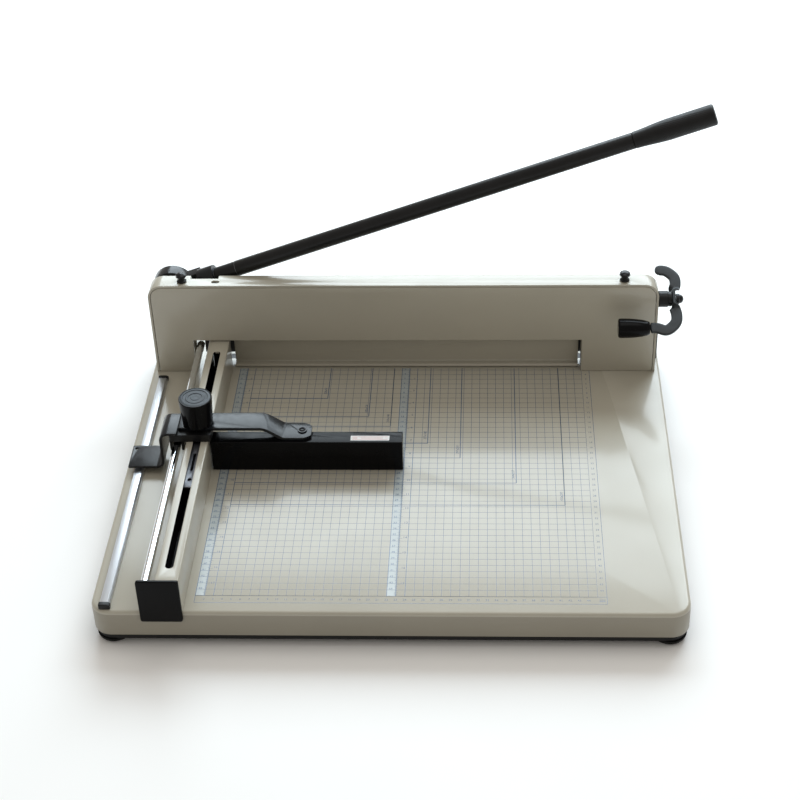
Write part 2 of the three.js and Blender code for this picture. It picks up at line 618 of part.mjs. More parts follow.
function rail() {
  add("rail_channel", railChannel(), CREAM);
  add("guide_rod", bar("y", [ROD.x, ROD.z], ROD.radius, RAIL.front + GAP, RAIL.back), CHROME);
  add("rail_end_cap", railEndCap(), BLACK_GLOSS);
  const { left, right, top, front, back } = RULER;
  const section = polygon([[left, GAP], [right, GAP], [right, top - 1.5], [right - 2, top], [left, top]]);
  add("ruler_bar", prism("y", section, front, back), ALUMINIUM);
  const outerLeft = left - 0.8;
  const outerRight = right + 0.8;
  const crown = [[outerRight, top - 0.8], [right - 1.8, top + 0.8], [outerLeft, top + 0.8]];
  const end = polygon([[outerLeft, GAP], [outerRight, GAP], ...crown]);
  add("ruler_cap_front", prism("y", end, front - 6.3, front - GAP), BLACK_SATIN);
  add("ruler_cap_rear", prism("y", end, back + GAP, back + 4.3), BLACK_SATIN);
}

// A block on the rail with two prongs that straddle the guide rod.
function carriageBlock() {
  const { left, right, front, back, bottom, top } = CARRIAGE;
  const block = prism("z", rounded(left, right, front, back, 3), bottom, top, { curveSegments: 4 });
  const inner = box(ROD.x + ROD.radius + 0.5, ROD.x + ROD.radius + 4, front + 2, back - 2, 33, bottom + 1);
  const outer = box(left, ROD.x - ROD.radius - 0.5, front + 2, back - 2, 33, bottom + 1);
  return cut(join(block, inner, outer), bar("z", [KNOB.x, KNOB.y], 4.6, bottom - 1, top + 1));
}

// A bent strip from under the knob, down outside the rod, to a pointer foot over the ruler.
function pointerFoot() {
  const bottom = CARRIAGE.top + GAP;
  const mid = bottom + 1.6;
  const outline = bentStrip([[-36, mid], [-56, mid, 9], [-56, 10.2, 9], [-99, 10.2]], 3.2);
  const foot = prism("y", outline, 209, 249);
  const hole = bar("z", [-94, 243], 2, 5, 15, 16);
  return cut(foot, hole);
}

// A flat bar from under the knob, over a bridge, down to a tongue that is screwed to the stop.
function strapBracket() {
  const { front, back, top, thickness } = STRAP;
  const high = top - thickness / 2;
  const low = STOP.top + GAP + thickness / 2;
  const outline = bentStrip([[-35, high], [66, high, 16], [88, low, 9], [121, low]], thickness);
  const plan = new THREE.Shape();
  plan.moveTo(-36, front).lineTo(109, front);
  plan.absarc(109, (front + back) / 2, (back - front) / 2, -Math.PI / 2, Math.PI / 2, false);
  plan.lineTo(-36, back);
  const strap = prism("y", outline, front, back).intersect(prism("z", plan, 30, 80, { curveSegments: 14 }));
  return cut(strap, bar("z", [KNOB.x, KNOB.y], 4.6, 50, 70), bar("z", [110, 234], 2.6, 30, 60, 16));
}

function stopBar() {
  const { left, right, front, back, bottom, top, wall } = STOP;
  const outline = rounded(left, right, front, back, 1.5);
  const block = prism("z", outline, bottom, top, { edge: 0.8, curveSegments: 3 });
  const hollow = box(left + wall, right - wall, front + wall, back - wall, bottom - 1, top - wall);
  const boss = box(102, 118, front + wall - 0.5, back - wall + 0.5, top - 14, top - wall + 0.5);
  const thread = bar("z", [110, 234], 2.6, top - 10, top + 1, 16);
  return cut(join(cut(block, hollow), boss), thread);
}

function stopScrew() {
  const seat = STOP.top + GAP + STRAP.thickness + 0.2;
  const profile = [[0, -9], [2.3, -9], [2.3, 0], [5.6, 0], [5.2, 1.8], [3.4, 3], [0, 3.2]];
  return turned(profile, [110, 234, seat], 24);
}

// The stud's foot is a square nut under the slide strip, inside the rail.
function knobStud() {
  const { x, y } = KNOB;
  const foot = box(x - 8, x + 8, y - 8, y + 8, 35, 39.7);
  return join(foot, bar("z", [x, y], 4, 39, STRAP.top + 16, 20));
}

function clampKnob() {
  const { x, y, radius, height } = KNOB;
  const rim = [[radius - 1.8, 0], [radius - 0.9, 1], [radius, height - 2], [radius - 1.2, height]];
  const profile = [[0, 0], ...rim, [0, height]];
  const bottom = STRAP.top + GAP;
  return cut(turned(profile, [x, y, bottom], 40), bar("z", [x, y], 4.3, bottom - 1, bottom + 17, 20));
}

// A flat steel strip under the rail's slot, drawn up by the knob, with a hole and a long slot ahead of the
// carriage.
function slideStrip() {
  const { slot, top, wall } = RAIL;
  const [y0, y1] = [132, KNOB.y + 14];
  const [z0, z1] = [40, top - wall - 0.3];
  const strip = box(slot[0] - 3, slot[1] + 3, y0, y1, z0, z1);
  const round = bar("z", [KNOB.x, y0 + 14], 2.4, z0 - 1, z1 + 1, 16);
  const outline = rounded(KNOB.x - 1.7, KNOB.x + 1.7, y0 + 30, y0 + 62, 1.6);
  const long = prism("z", outline, z0 - 1, z1 + 1, { curveSegments: 4 });
  return cut(strip, round, long, bar("z", [KNOB.x, KNOB.y], 4.3, z0 - 1, z1 + 1, 20));
}

function sideStop() {
  add("carriage_block", carriageBlock(), BLACK_SATIN);
  add("slide_strip", slideStrip(), STEEL);
  add("pointer_foot", pointerFoot(), BLACK_GLOSS);
  add("strap_bracket", strapBracket(), BLACK_GLOSS);
  add("stop_bar", stopBar(), BLACK_GLOSS);
  add("stop_screw", stopScrew(), BLACK_GLOSS);
  add("knob_stud", knobStud(), STEEL);
  add("clamp_knob", clampKnob(), BLACK_SATIN);
}

base();
housing();
clampDrive();
clampHandle();
leverAndBlade();
rail();
sideStop();

// ---------- origin: the middle of the footprint, at the feet ----------
const reach = new THREE.Box3().setFromObject(group);
group.position.set(-(reach.min.x + reach.max.x) / 2, -(reach.min.y + reach.max.y) / 2, -reach.min.z);

export default group;
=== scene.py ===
"""Looks of the guillotine paper cutter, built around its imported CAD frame. Metres, row frame."""

import json
import math

import bmesh
import bpy
from mathutils import Matrix, Vector


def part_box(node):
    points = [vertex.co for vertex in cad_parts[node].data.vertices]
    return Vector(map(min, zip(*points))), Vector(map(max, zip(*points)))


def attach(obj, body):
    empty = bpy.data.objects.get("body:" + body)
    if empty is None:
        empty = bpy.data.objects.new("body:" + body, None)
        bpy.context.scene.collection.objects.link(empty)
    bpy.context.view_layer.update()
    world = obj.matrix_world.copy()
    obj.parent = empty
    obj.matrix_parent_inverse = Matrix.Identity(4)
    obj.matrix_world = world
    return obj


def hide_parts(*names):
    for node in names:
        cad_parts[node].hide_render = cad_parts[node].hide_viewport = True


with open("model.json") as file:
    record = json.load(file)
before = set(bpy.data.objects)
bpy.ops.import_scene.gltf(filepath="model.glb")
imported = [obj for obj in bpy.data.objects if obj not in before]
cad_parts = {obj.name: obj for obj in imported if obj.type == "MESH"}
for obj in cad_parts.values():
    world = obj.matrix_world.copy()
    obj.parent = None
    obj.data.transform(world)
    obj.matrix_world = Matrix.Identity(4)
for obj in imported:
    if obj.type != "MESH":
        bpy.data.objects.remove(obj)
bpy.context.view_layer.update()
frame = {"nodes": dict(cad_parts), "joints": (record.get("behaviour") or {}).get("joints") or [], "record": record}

MM = 0.001
JOINTS = {joint["name"]: joint for joint in frame["joints"]}

# The machine's own datum: the rail's fence face, the printed grid's front line and the table top.
FENCE_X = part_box("rail_channel")[1].x
GRID_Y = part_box("front_plate")[0].y - 417.5 * MM
TABLE_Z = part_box("base_deck")[1].z
CUT_LINE = 450  # millimetres behind the grid's front line


def place(x, y, z=0.0):
    """A point given in millimetres from the machine's datum, in the row frame."""
    return Vector((FENCE_X + x * MM, GRID_Y + y * MM, TABLE_Z + z * MM))


# ---------- materials ----------
class Nodes:
    """A small helper that adds and links shader nodes."""

    def __init__(self, name):
        self.material = bpy.data.materials.new(name)
        self.material.use_nodes = True
        self.tree = self.material.node_tree
        self.shader = self.tree.nodes["Principled BSDF"]
        coordinates = self.tree.nodes.new("ShaderNodeTexCoord")
        self.coordinates = coordinates.outputs["Object"]

    def noise(self, scale, stretch=(1, 1, 1), detail=3.0):
        mapping = self.tree.nodes.new("ShaderNodeMapping")
        mapping.inputs["Scale"].default_value = stretch
        noise = self.tree.nodes.new("ShaderNodeTexNoise")
        noise.inputs["Scale"].default_value = scale
        noise.inputs["Detail"].default_value = detail
        self.tree.links.new(self.coordinates, mapping.inputs["Vector"])
        self.tree.links.new(mapping.outputs["Vector"], noise.inputs["Vector"])
        return noise.outputs["Fac"]

    def spread(self, value, low, high):
        ranged = self.tree.nodes.new("ShaderNodeMapRange")
        ranged.inputs["From Min"].default_value = 0.3
        ranged.inputs["From Max"].default_value = 0.7
        ranged.inputs["To Min"].default_value = low
        ranged.inputs["To Max"].default_value = high
        self.tree.links.new(value, ranged.inputs["Value"])
        return ranged.outputs["Result"]

    def mix(self, factor, first, second):
        mixer = self.tree.nodes.new("ShaderNodeMix")
        mixer.data_type = "RGBA"
        for socket, value in ((mixer.inputs[6], first), (mixer.inputs[7], second)):
            socket.default_value = (*value, 1.0)
        self.tree.links.new(factor, mixer.inputs[0])
        return mixer.outputs[2]

    def bump(self, height, depth, strength):
        bump = self.tree.nodes.new("ShaderNodeBump")
        bump.inputs["Distance"].default_value = depth
        bump.inputs["Strength"].default_value = strength
        self.tree.links.new(height, bump.inputs["Height"])
        self.tree.links.new(bump.outputs["Normal"], self.shader.inputs["Normal"])


def shade(colour, amount):
    return tuple(min(1.0, channel * amount) for channel in colour)


def finish(name, colour, roughness, metallic=0.0, mottle=(30, 0.06), uneven=0.05, grain=(900, 0.25),
           stretch=(1, 1, 1), coat=0.0, specular=0.5):
    """A surface finish. mottle: scale and depth of its tone. grain: scale and strength of its texture."""
    nodes = Nodes(name)
    tone = nodes.noise(mottle[0], stretch)
    colours = nodes.mix(nodes.spread(tone, 0, 1), shade(colour, 1 - mottle[1]), shade(colour, 1 + mottle[1]))
    nodes.tree.links.new(colours, nodes.shader.inputs["Base Color"])
    gloss = nodes.spread(nodes.noise(mottle[0] * 3.1, stretch), roughness - uneven, roughness + uneven)
    nodes.tree.links.new(gloss, nodes.shader.inputs["Roughness"])
    nodes.bump(nodes.noise(grain[0], stretch, 2.0), 0.1 * MM, grain[1])
    nodes.shader.inputs["Metallic"].default_value = metallic
    nodes.shader.inputs["Coat Weight"].default_value = coat
    nodes.shader.inputs["Coat Roughness"].default_value = 0.12
    nodes.shader.inputs["Specular IOR Level"].default_value = specular
    return nodes.material


ALONG_X = (0.03, 1, 1)
ALONG_Y = (1, 0.03, 1)
# The skirt's darker, browner copy of the cream enamel is painted shade; the real paint is one colour all over.
SKIRT_PAINTED_SHADE = finish("cream_enamel_painted_shade", (0.27, 0.248, 0.198), 0.42, mottle=(9, 0.03), grain=(420, 0.06),
               coat=0.1)
CREAM = finish("cream_enamel", (0.40, 0.375, 0.307), 0.34, mottle=(9, 0.03), grain=(420, 0.06), coat=0.45)
BLACK_PAINT = finish("black_enamel", (0.006, 0.007, 0.009), 0.22, mottle=(40, 0.3), grain=(500, 0.1),
                     specular=0.32)
BLACK_GLOSS = finish("black_gloss_plastic", (0.003, 0.003, 0.0035), 0.18, mottle=(25, 0.3),
                     grain=(300, 0.05), specular=0.1)
BLACK_SATIN = finish("black_satin_paint", (0.004, 0.004, 0.0045), 0.36, mottle=(60, 0.35), grain=(700, 0.3),
                     specular=0.3)
BLACK_PLASTIC = finish("black_plastic", (0.004, 0.004, 0.0045), 0.44, mottle=(80, 0.3), grain=(1400, 0.5),
                       specular=0.28)
KNOB_FACE = finish("knob_face_grey", (0.03, 0.038, 0.046), 0.46, mottle=(120, 0.3), grain=(1100, 0.5),
                   specular=0.32)
CASTING = finish("dark_grey_casting", (0.016, 0.021, 0.025), 0.4, mottle=(90, 0.25), grain=(650, 0.45),
                 specular=0.4)
RUBBER = finish("foot_rubber", (0.003, 0.003, 0.003), 0.6, mottle=(60, 0.3), grain=(900, 0.5), specular=0.15)
STEEL = finish("ground_steel", (0.42, 0.43, 0.45), 0.3, 1.0, mottle=(160, 0.08), grain=(1600, 0.3),
               stretch=ALONG_X)
# Darkened steel for the blade and its holder. On the blade the darkness is painted shade for the dark gap at the
# clamp's ends; on the holder it is partly the holder's own dark finish.
DARK_STEEL_AND_PAINTED_SHADE = finish("dark_steel_and_painted_shade", (0.075, 0.075, 0.078), 0.4, 0.8, mottle=(120, 0.15), grain=(1600, 0.3),
                     stretch=ALONG_X)
SLOT_STEEL = finish("slot_steel", (0.16, 0.165, 0.18), 0.4, 1.0, mottle=(160, 0.1), grain=(1600, 0.3),
                    stretch=ALONG_Y)
ALUMINIUM = finish("satin_aluminium", (0.66, 0.69, 0.73), 0.34, 1.0, mottle=(220, 0.05), grain=(1800, 0.25),
                   stretch=ALONG_Y)
CHROME = finish("polished_chrome", (0.8, 0.82, 0.84), 0.1, 1.0, mottle=(40, 0.03), uneven=0.02,
                grain=(500, 0.04), stretch=ALONG_Y)
STICK = finish("cutting_stick_plastic", (0.035, 0.037, 0.04), 0.55, mottle=(50, 0.08), grain=(1200, 0.3))
INK = finish("grid_ink", (0.075, 0.115, 0.19), 0.4, mottle=(260, 0.25), grain=(1500, 0.05), coat=0.45)
TINT = finish("ruler_tint", (0.345, 0.375, 0.37), 0.36, mottle=(60, 0.04), grain=(420, 0.06), coat=0.45)
STICKER = finish("plain_sticker", (0.6, 0.6, 0.58), 0.5, mottle=(90, 0.05), grain=(900, 0.2))
RED_INK = finish("sticker_red", (0.4, 0.05, 0.04), 0.5, mottle=(120, 0.2), grain=(900, 0.1))


# ---------- mesh tools ----------
def mark_sharp(mesh, limit=math.radians(32)):
    """Smooth shading everywhere except across edges that turn more than the limit."""
    shape = bmesh.new()
    shape.from_mesh(mesh)
    for face in shape.faces:
        face.smooth = True
    for edge in shape.edges:
        edge.smooth = edge.is_manifold and edge.calc_face_angle(0.0) < limit
    shape.to_mesh(mesh)
    shape.free()


def new_piece(name, mesh, material, body, slot, *nodes):
    piece = bpy.data.objects.new(name, mesh)
    bpy.context.scene.collection.objects.link(piece)
    if not mesh.materials:
        mesh.materials.append(material)
    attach(piece, body)
    if nodes:
        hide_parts(*nodes)
    return piece


def clean_copy(node):
    """The CAD node's mesh with its flat regions as single faces."""
    mesh = bpy.data.meshes.new(node + "_detail")
    shape = bmesh.new()
    shape.from_mesh(frame["nodes"][node].data)
    bmesh.ops.remove_doubles(shape, verts=shape.verts, dist=1e-6)
    bmesh.ops.dissolve_limit(shape, angle_limit=math.radians(0.4), verts=shape.verts, edges=shape.edges)
    shape.to_mesh(mesh)
    shape.free()
    return mesh


def refined(node, material, body, slot, bevel=0.5, segments=2, limit=38, painted_shade=None):
    """The node with its hard edges broken by a small round.

    painted_shade is a second, darker material and a test for the faces that get it: painted shade on faces that
    light reaches less.
    """
    mesh = clean_copy(node)
    worker = bpy.data.objects.new("worker", mesh)
    bpy.context.scene.collection.objects.link(worker)
    modifier = worker.modifiers.new("edge", "BEVEL")
    modifier.width = bevel * MM
    modifier.segments = segments
    modifier.limit_method = "ANGLE"
    modifier.angle_limit = math.radians(limit)
    modifier.use_clamp_overlap = True
    graph = bpy.context.evaluated_depsgraph_get()
    rounded = bpy.data.meshes.new_from_object(worker.evaluated_get(graph))
    bpy.data.objects.remove(worker)
    rounded.materials.clear()
    mark_sharp(rounded)
    if painted_shade:
        rounded.materials.append(material)
        rounded.materials.append(painted_shade[0])
        for polygon in rounded.polygons:
            polygon.material_index = 1 if painted_shade[1](polygon) else 0
    return new_piece(node + "_detail", rounded, material, body, slot, node)


def frame_on(origin, axis):
    """A matrix that puts local Z on an axis through a point."""
    return Matrix.Translation(origin) @ axis.to_track_quat("Z", "Y").to_matrix().to_4x4()


def revolved(name, profile, origin, axis, sides=96, relief=None):
    """A turned mesh. The profile is (radius, height) in millimetres; relief(angle, height) lowers it."""
    vertices, faces, rings = [], [], []
    for radius, height in profile:
        ring = []
        count = 1 if radius == 0 else sides
        for i in range(count):
            angle = 2 * math.pi * i / sides
            r = radius - (relief(angle, height) if relief and radius else 0)
            ring.append(len(vertices))
            vertices.append((r * math.cos(angle) * MM, r * math.sin(angle) * MM, height * MM))
        rings.append(ring)
    for low, high in zip(rings, rings[1:]):
        for i in range(sides):
            near = [low[i % len(low)], low[(i + 1) % len(low)]]
            far = [high[(i + 1) % len(high)], high[i % len(high)]]
            unique = list(dict.fromkeys(near + far))
            if len(unique) > 2:
                faces.append(unique)
    mesh = bpy.data.meshes.new(name)
    mesh.from_pydata(vertices, [], faces)
    mesh.transform(frame_on(origin, axis))
    mesh.validate()
    mark_sharp(mesh)
    return mesh


def arc(centre_radius, centre_height, radius, start, end, steps=6):
    """Profile points on an arc, by angle in degrees from the radius direction towards the height."""
    return [
        (centre_radius + radius * math.cos(math.radians(start + (end - start) * i / steps)),
         centre_height + radius * math.sin(math.radians(start + (end - start) * i / steps)))
        for i in range(steps + 1)
    ]


# ---------- camera, light, floor ----------
CAMERA = {"at": (335.0, -1371.9, 1301.6), "elevation": 35.287, "yaw": -2.921, "roll": -1.772}
FOCAL_PIXELS = 1717.5
IMAGE_PIXELS = 800
SHIFT = (-0.025, -0.0625)


def make_camera():
    elevation, yaw, roll = (math.radians(CAMERA[key]) for key in ("elevation", "yaw", "roll"))
    level = math.cos(elevation)
    forward = Vector((math.sin(yaw) * level, math.cos(yaw) * level, -math.sin(elevation)))
    right = Vector((math.cos(yaw), -math.sin(yaw), 0))
    up = right.cross(forward)
    right, up = (math.cos(roll) * right + math.sin(roll) * up, math.cos(roll) * up - math.sin(roll) * right)
    data = bpy.data.cameras.new("camera")
    data.sensor_width = 36
    data.lens = 36 * FOCAL_PIXELS / IMAGE_PIXELS
    data.shift_x, data.shift_y = SHIFT
    camera = bpy.data.objects.new("camera", data)
    turn = Matrix((right, up, -forward)).transposed().to_4x4()
    camera.matrix_world = Matrix.Translation(place(*CAMERA["at"])) @ turn
    bpy.context.scene.collection.objects.link(camera)
    bpy.context.scene.camera = camera


def area_light(name, at, target, size, power, colour):
    data = bpy.data.lights.new(name, "AREA")
    data.shape = "RECTANGLE"
    data.size, data.size_y = size
    data.energy = power
    data.color = colour
    light = bpy.data.objects.new(name, data)
    light.location = place(*at)
    light.rotation_euler = (place(*target) - light.location).to_track_quat("-Z", "Y").to_euler()
    bpy.context.scene.collection.objects.link(light)


def make_studio():
    world = bpy.data.worlds.new("studio")
    world.use_nodes = True
    background = world.node_tree.nodes["Background"]
    background.inputs["Color"].default_value = (1.0, 0.945, 0.87, 1)
    background.inputs["Strength"].default_value = 0.5
    bpy.context.scene.world = world
    bpy.context.scene.view_settings.view_transform = "Standard"
    middle = (230, 230, 0)
    area_light("window_light", (600, 2500, 1850), middle, (3.2, 2.0), 118, (0.80, 0.92, 1.0))
    area_light("top_light", (500, 300, 2300), middle, (1.6, 1.6), 10, (1.0, 0.99, 0.97))
    mesh = bpy.data.meshes.new("floor")
    size, z = 6.0, -TABLE_Z / MM
    corners = [place(sx * size / MM, sy * size / MM, z) for sx, sy in ((-1, -1), (1, -1), (1, 1), (-1, 1))]
    mesh.from_pydata([tuple(corner) for corner in corners], [], [(0, 1, 2, 3)])
    mesh.materials.append(finish("pale_floor", (0.93, 0.93, 0.925), 0.7, mottle=(2, 0.01), grain=(60, 0.02)))
    floor = bpy.data.objects.new("floor", mesh)
    bpy.context.scene.collection.objects.link(floor)


# ---------- printed table ----------
GRID = {"left": 10, "right": 450, "back": 424}
RULERS = (10, 220)  # left edges of the two upright rulers, each 20 wide
FORMATS = ((128, 91), (182, 128), (210, 148), (257, 182), (297, 210), (364, 257), (420, 297))
INCH = 25.4


class Print:
    """Thin printed rectangles and numerals collected into one mesh just above the table top."""

    def __init__(self, level):
        self.vertices, self.faces = [], []
        self.level = level

    def block(self, x0, x1, y0, y1):
        start = len(self.vertices)
        low, high = self.level, self.level + 0.03
        for z in (low, high):
            self.vertices += [place(x, y, z) for x, y in ((x0, y0), (x1, y0), (x1, y1), (x0, y1))]
        around = [(start + i, start + (i + 1) % 4, start + 4 + (i + 1) % 4, start + 4 + i) for i in range(4)]
        bottom = tuple(start + i for i in (3, 2, 1, 0))
        top = tuple(start + 4 + i for i in range(4))
        self.faces += [bottom, top, *around]

    def upright(self, x, y0, y1, width=0.3):
        self.block(x - width / 2, x + width / 2, y0, y1)

    def level_line(self, y, x0, x1, width=0.3):
        self.block(x0, x1, y - width / 2, y + width / 2)

    def text(self, words, x, y, size, turn=0.0):
        curve = bpy.data.curves.new("numeral", "FONT")
        curve.body = words
        curve.size = size * MM
        curve.align_x, curve.align_y = "CENTER", "CENTER"
        curve.extrude = 0.015 * MM
        curve.resolution_u = 2
        letters = bpy.data.objects.new("numeral", curve)
        mesh = bpy.data.meshes.new_from_object(letters)
        mesh.transform(Matrix.Translation(place(x, y, self.level + 0.02)) @ Matrix.Rotation(turn, 4, "Z"))
        start = len(self.vertices)
        self.vertices += [tuple(vertex.co) for vertex in mesh.vertices]
        self.faces += [tuple(start + i for i in polygon.vertices) for polygon in mesh.polygons]
        bpy.data.objects.remove(letters)
        bpy.data.curves.remove(curve)
        bpy.data.meshes.remove(mesh)

    def finish(self, name, material, body="frame", slot="cream_paint"):
        mesh = bpy.data.meshes.new(name)
        mesh.from_pydata([tuple(vertex) for vertex in self.vertices], [], self.faces)
        return new_piece(name, mesh, material, body, slot)


def printed_grid():
    left, right, back = GRID["left"], GRID["right"], GRID["back"]
    grid = Print(0.03)
    for x in range(left, right + 1, 10):
        heavy = any(edge <= x <= edge + 20 for edge in RULERS)
        grid.upright(x, 0, back, 0.75 if heavy else 0.42)
    for row in range(0, back + 1, 10):
        grid.level_line(row, left, right, 0.42)
    grid.upright(right + 10, -11, back, 0.6)
    grid.upright(left, -11, 0, 0.6)
    for row in (0, -11):
        grid.level_line(row, left, right + 10, 0.6)
    for row in (-4.5, -7):
        grid.level_line(row, right + 1.5, right + 8, 0.9)
    for width, length in FORMATS:
        grid.upright(width, CUT_LINE - length, back, 1.0)
        grid.level_line(CUT_LINE - length, left + 20, width, 0.9)
    grid.finish("table_grid", INK)


def printed_rulers():
    marks = Print(0.08)
    for edge in RULERS:
        middle = edge + 10
        for step in range(CUT_LINE - GRID["back"], CUT_LINE + 1):
            reach = 3.2 if step % 10 == 0 else 2.2 if step % 5 == 0 else 1.3
            marks.level_line(CUT_LINE - step, middle - reach, middle, 0.3)
        for eighth in range(math.ceil((CUT_LINE - GRID["back"]) * 8 / INCH), int(CUT_LINE * 8 / INCH) + 1):
            reach = 3.6 if eighth % 8 == 0 else 2.4 if eighth % 4 == 0 else 1.4
            marks.level_line(CUT_LINE - eighth * INCH / 8, middle, middle + reach, 0.3)
        for centimetre in range(3, 45):
            marks.text(str(centimetre), middle - 6, CUT_LINE - 10 * centimetre + 1.6, 4.2)
        for inch in range(2, 18):
            marks.text(str(inch), middle + 6.4, CUT_LINE - INCH * inch + 1.8, 4.8)
    for centimetre in range(1, 45):
        marks.text(str(centimetre), 10 * centimetre, -5.6, 4.2)
    for centimetre in range(3, 45):
        marks.text(str(centimetre), GRID["right"] + 5, CUT_LINE - 10 * centimetre, 4.2)
    for width, length in FORMATS:
        marks.text(f"{width}x{length}", width - 3.4, CUT_LINE - length + 16, 4.6, math.pi / 2)
    marks.finish("table_numerals", INK)
    tint = Print(0.0)
    for edge in RULERS:
        tint.block(edge, edge + 10, 0, GRID["back"])
    tint.finish("ruler_tint_bands", TINT)


# ---------- base and housing ----------
def corner_foot(node):
    """A moulded corner foot: a shallow cup with a full round lower edge."""
    low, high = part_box(node)
    height = (high.z - low.z) / MM
    radius = (high.x - low.x) / 2 / MM
    outline = [(0, 0), (radius - 8, 0), *arc(radius - 7, 7, 7, -88, 0), (radius, height), (0, height)]
    centre = Vector(((low.x + high.x) / 2, (low.y + high.y) / 2, low.z))
    mesh = revolved(node + "_cup", outline, centre, Vector((0, 0, 1)))
    new_piece(node + "_cup", mesh, RUBBER, "frame", "rubber", node)


def cover_knob(side):
    """A glossy mushroom head on a dull waisted neck."""
    node = f"cover_knob_{side}"
    low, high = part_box(node)
    centre = Vector(((low.x + high.x) / 2, (low.y + high.y) / 2, low.z))
    axis = Vector((0, 0, 1))
    neck = [(0, 0), (2.6, 0), (2.6, 3.5), (5.6, 3.5), (6, 3.9), (6, 4.9), (4.2, 6.2), (3.8, 8.4),
            (4.4, 10.2), (0, 10.2)]
    head = [(0, 10.3), (5.6, 10.5), *arc(5.4, 12.0, 1.4, -60, 50, 5), *arc(0, 6.4, 9.9, 52, 88, 6),
            (0, 16.2)]
    mesh = revolved(node + "_neck", neck, centre, axis, 48)
    new_piece(node + "_neck", mesh, BLACK_PLASTIC, node, "black_plastic", node)
    mesh = revolved(node + "_head", head, centre, axis, 64)
    new_piece(node + "_head", mesh, BLACK_PAINT, node, "black_gloss", node)


def base_and_housing():
    def on_skirt(face):
        return face.center.z < TABLE_Z - 5 * MM

    # Faces below the table top take the darker skirt copy of the cream: painted shade.
    refined("base_deck", CREAM, "frame", "cream_paint", 0.3, painted_shade=(SKIRT_PAINTED_SHADE, on_skirt))
    refined("base_tray", BLACK_PLASTIC, "frame", "black_plastic", 0.9, 3)
    for end in ("front_left", "front_right", "rear_left", "rear_right"):
        corner_foot("foot_" + end)
    for node in ("front_plate", "rear_plate", "cap_strip"):
        refined(node, CREAM, "frame", "cream_paint", 0.7, 3)
    for side in ("left", "right"):
        refined("frame_post_" + side, CREAM, "frame", "cream_paint", 0.8)
        refined("frame_bracket_" + side, BLACK_SATIN, "frame", "black_paint", 1.2, 3)
        cover_knob(side)


# ---------- clamp ----------
HANDLE_TILT = math.radians(67)  # forward of straight down
HANDLE_REACH = 43.4  # from the shaft to the grip's axis


def clamp():
    refined("clamp_bar", CREAM, "clamp", "cream_paint", 0.4)


def handle_point(across, reach, lift=0.0):
    """A point of the handle, in millimetres across from the bar's inner face, out from the shaft and off
    the bar's plane.
    """
    shaft = Vector(JOINTS["clamp_handle_swing"]["pos_m"])
    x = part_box("ratchet_hub")[1].x + (across + 0.3) * MM
    outward = Vector((0, -math.sin(HANDLE_TILT), -math.cos(HANDLE_TILT)))
    normal = Vector((0, -math.cos(HANDLE_TILT), math.sin(HANDLE_TILT)))
    return Vector((x, shaft.y, shaft.z)) + (outward * reach + normal * lift) * MM


def smooth_path(points, steps):
    """Points spaced along a Catmull-Rom curve through the given plane points."""
    path = []
    padded = [points[0], *points, points[-1]]
    for i in range(1, len(padded) - 2):
        p0, p1, p2, p3 = (Vector(padded[i + k]) for k in (-1, 0, 1, 2))
        for k in range(steps):
            t = k / steps
            path.append(0.5 * (2 * p1 + (p2 - p0) * t + (2 * p0 - 5 * p1 + 4 * p2 - p3) * t * t
                               + (3 * p1 - p0 - 3 * p2 + p3) * t ** 3))
    path.append(Vector(points[-1]))
    return path


def handle_bar():
    """A flat bar with both ends curled in, and a quarter twist on each side of the nut."""
    route = [(-19, -43), (-6, -42), (4, -33), (5.6, -22), (2.6, -11), (2.5, 0), (2.6, 11), (5, 24), (3, 36),
             (-8, HANDLE_REACH + 3), (-20, HANDLE_REACH), (-28.7, HANDLE_REACH)]
    path = smooth_path(route, 9)
    sides, vertices, faces = 20, [], []
    for i, point in enumerate(path):
        along = (path[min(i + 1, len(path) - 1)] - path[max(i - 1, 0)]).normalized()
        beside = Vector((along.y, -along.x))
        turned = max(0.0, min(1.0, (17 - abs(point.y)) / 8))
        twist = math.radians(90) * turned * turned * (3 - 2 * turned)
        from_end = min(i, (len(path) - 1 - i) * 2.2)
        taper = min(1.0, math.sqrt(max(0.05, 1 - (1 - from_end / 6) ** 2)) if from_end < 6 else 1.0)
        width, thickness = 7.0 * taper, 2.3 * max(taper, 0.6)
        for k in range(sides):
            angle = 2 * math.pi * k / sides
            u = width * math.copysign(abs(math.cos(angle)) ** 0.35, math.cos(angle))
            v = thickness * math.copysign(abs(math.sin(angle)) ** 0.35, math.sin(angle))
            flat = u * math.cos(twist) - v * math.sin(twist)
            lift = u * math.sin(twist) + v * math.cos(twist)
            place_2d = point + beside * flat
            vertices.append(tuple(handle_point(place_2d.x, place_2d.y, lift)))
    for i in range(len(path) - 1):
        for k in range(sides):
            a, b = i * sides + k, i * sides + (k + 1) % sides
            faces.append((a, b, b + sides, a + sides))
    faces.append(tuple(range(sides))[::-1])
    faces.append(tuple((len(path) - 1) * sides + k for k in range(sides)))
    mesh = bpy.data.meshes.new("clamp_handle_cast_bar")
    mesh.from_pydata(vertices, [], faces)
    shape = bmesh.new()
    shape.from_mesh(mesh)
    bmesh.ops.recalc_face_normals(shape, faces=shape.faces)
    shape.to_mesh(mesh)
    shape.free()
    mark_sharp(mesh, math.radians(50))
    new_piece("clamp_handle_cast_bar", mesh, CASTING, "clamp_handle", "dark_grey_casting",
              "clamp_handle_bar")


